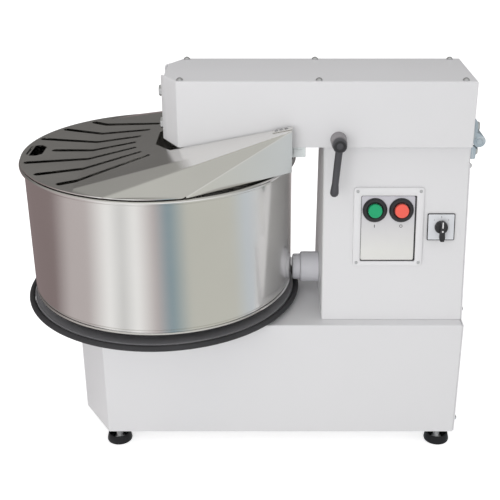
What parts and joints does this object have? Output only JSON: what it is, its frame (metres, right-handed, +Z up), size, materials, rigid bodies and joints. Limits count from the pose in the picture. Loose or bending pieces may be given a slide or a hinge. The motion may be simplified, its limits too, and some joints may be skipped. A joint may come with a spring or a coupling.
{
  "type": "tilting-head spiral dough mixer",
  "caption": "Tilting-head spiral dough mixer: white sheet-metal stand, turning stainless bowl on a carrier dish, folding vented lid, kneading spiral, clamp lever and control panel.",
  "frame": {"origin": "on the floor, under the centre of the machine's box", "axes": "+Z up, +X from the bowl towards the rear hinge, -Y is the control-panel side"},
  "size_m": [0.775, 0.4786, 0.646],
  "materials": {
    "white_paint": "semi-gloss white powder coat on sheet steel",
    "brushed_stainless": "brushed stainless steel",
    "lid_stainless": "satin cold-rolled stainless sheet",
    "zinc_fastener": "bright zinc-plated steel",
    "drive_steel": "oiled machined steel",
    "motor_iron": "painted cast housing",
    "dish_steel": "dark polished pressed steel",
    "hinge_casting": "blue-grey painted casting",
    "grey_plastic": "light grey moulded plastic",
    "black_plastic": "black moulded plastic",
    "foot_rubber": "black rubber",
    "rim_rubber": "matte black rubber edging",
    "green_plastic": "green glossy button cap",
    "red_plastic": "red glossy button cap",
    "panel_plate": "light satin panel plate",
    "milky_plastic": "milky white plastic"
  },
  "bodies": {
    "stand": {"base_housing": "white_paint", "column_housing": "white_paint", "rear_cover": "white_paint", "rear_screw_1": "zinc_fastener", "rear_screw_2": "zinc_fastener", "rear_screw_3": "zinc_fastener", "rear_screw_4": "zinc_fastener", "cable_gland": "black_plastic", "levelling_foot_1": "foot_rubber", "levelling_foot_2": "foot_rubber", "levelling_foot_3": "foot_rubber", "levelling_foot_4": "foot_rubber", "control_frame": "panel_plate", "control_face": "panel_plate", "start_bezel": "black_plastic", "stop_bezel": "black_plastic", "selector_plate": "panel_plate", "buffer_sleeve": "grey_plastic", "buffer_nose": "grey_plastic", "hinge_column_leaf": "hinge_casting", "hinge_pin": "zinc_fastener", "hinge_column_bolt_1": "zinc_fastener", "hinge_column_bolt_2": "zinc_fastener", "gear_motor": "motor_iron", "bowl_bearing": "drive_steel", "bowl_chain": "drive_steel"},
    "bowl_unit": {"bowl": "brushed_stainless", "carrier_dish": "dish_steel", "dish_rubber_rim": "rim_rubber", "bowl_sprocket": "drive_steel"},
    "main_shaft": {"drive_shaft": "drive_steel", "drive_pinion": "drive_steel"},
    "head": {"head_cover": "white_paint", "head_frame": "white_paint", "head_screw_1": "zinc_fastener", "head_screw_2": "zinc_fastener", "head_screw_3": "zinc_fastener", "head_screw_4": "zinc_fastener", "head_screw_5": "zinc_fastener", "head_screw_6": "zinc_fastener", "nose_bolt_1": "zinc_fastener", "nose_bolt_2": "zinc_fastener", "hinge_head_leaf": "hinge_casting", "hinge_head_bolt_1": "zinc_fastener", "hinge_head_bolt_2": "zinc_fastener", "breaker_bar": "brushed_stainless", "spiral_bearing": "drive_steel", "lid_switch_box": "milky_plastic", "head_chain": "drive_steel", "lid_hinge_rod": "zinc_fastener"},
    "upper_drive": {"clutch_sprocket": "drive_steel"},
    "spiral": {"spiral_hook": "brushed_stainless", "spiral_sprocket": "drive_steel"},
    "lid": {"lid_panel": "lid_stainless", "lid_hinge_front": "brushed_stainless", "lid_hinge_back": "brushed_stainless"},
    "clamp": {"clamp_lever": "black_plastic"},
    "start_key": {"start_button": "green_plastic"},
    "stop_key": {"stop_button": "red_plastic"},
    "selector": {"selector_knob": "black_plastic"}
  },
  "joints": [
    {"name": "head_tilt", "type": "hinge", "parent": "stand", "child": "head", "pos_m": [0.3775, 0, 0.541], "axis": [0, 1, 0], "range_deg": [0, 60]},
    {"name": "lid_open", "type": "hinge", "parent": "head", "child": "lid", "pos_m": [0.0685, 0, 0.5595], "axis": [0, 1, 0], "range_deg": [0, 70]},
    {"name": "bowl_spin", "type": "hinge", "parent": "stand", "child": "bowl_unit", "pos_m": [-0.1482, 0, 0.244], "axis": [0, 0, 1], "continuous": true},
    {"name": "drive_spin", "type": "hinge", "parent": "stand", "child": "main_shaft", "pos_m": [0.2855, 0, 0.3], "axis": [0, 0, 1], "continuous": true},
    {"name": "clutch_spin", "type": "hinge", "parent": "head", "child": "upper_drive", "pos_m": [0.2855, 0, 0.56], "axis": [0, 0, 1], "continuous": true},
    {"name": "spiral_spin", "type": "hinge", "parent": "head", "child": "spiral", "pos_m": [-0.0175, 0, 0.56], "axis": [0, 0, 1], "continuous": true},
    {"name": "clamp_turn", "type": "hinge", "parent": "head", "child": "clamp", "pos_m": [0.1491, -0.106, 0.548], "axis": [0, -1, 0], "range_deg": [0, 110]},
    {"name": "start_press", "type": "slide", "parent": "stand", "child": "start_key", "axis": [0, 0.9875, -0.1577], "range_m": [0, 0.0038], "stiffness_N_per_m": 900, "springref_m": -0.002},
    {"name": "stop_press", "type": "slide", "parent": "stand", "child": "stop_key", "axis": [0, 0.9875, -0.1577], "range_m": [0, 0.0038], "stiffness_N_per_m": 900, "springref_m": -0.002},
    {"name": "selector_turn", "type": "hinge", "parent": "stand", "child": "selector", "pos_m": [0.3218, -0.097, 0.40232], "axis": [0, -0.9875, 0.1577], "range_deg": [-45, 45]}
  ],
  "couplings": [
    {"joint": "drive_spin", "follows": "bowl_spin", "ratio": 5},
    {"joint": "clutch_spin", "follows": "bowl_spin", "ratio": 5},
    {"joint": "spiral_spin", "follows": "bowl_spin", "ratio": 9}
  ]
}
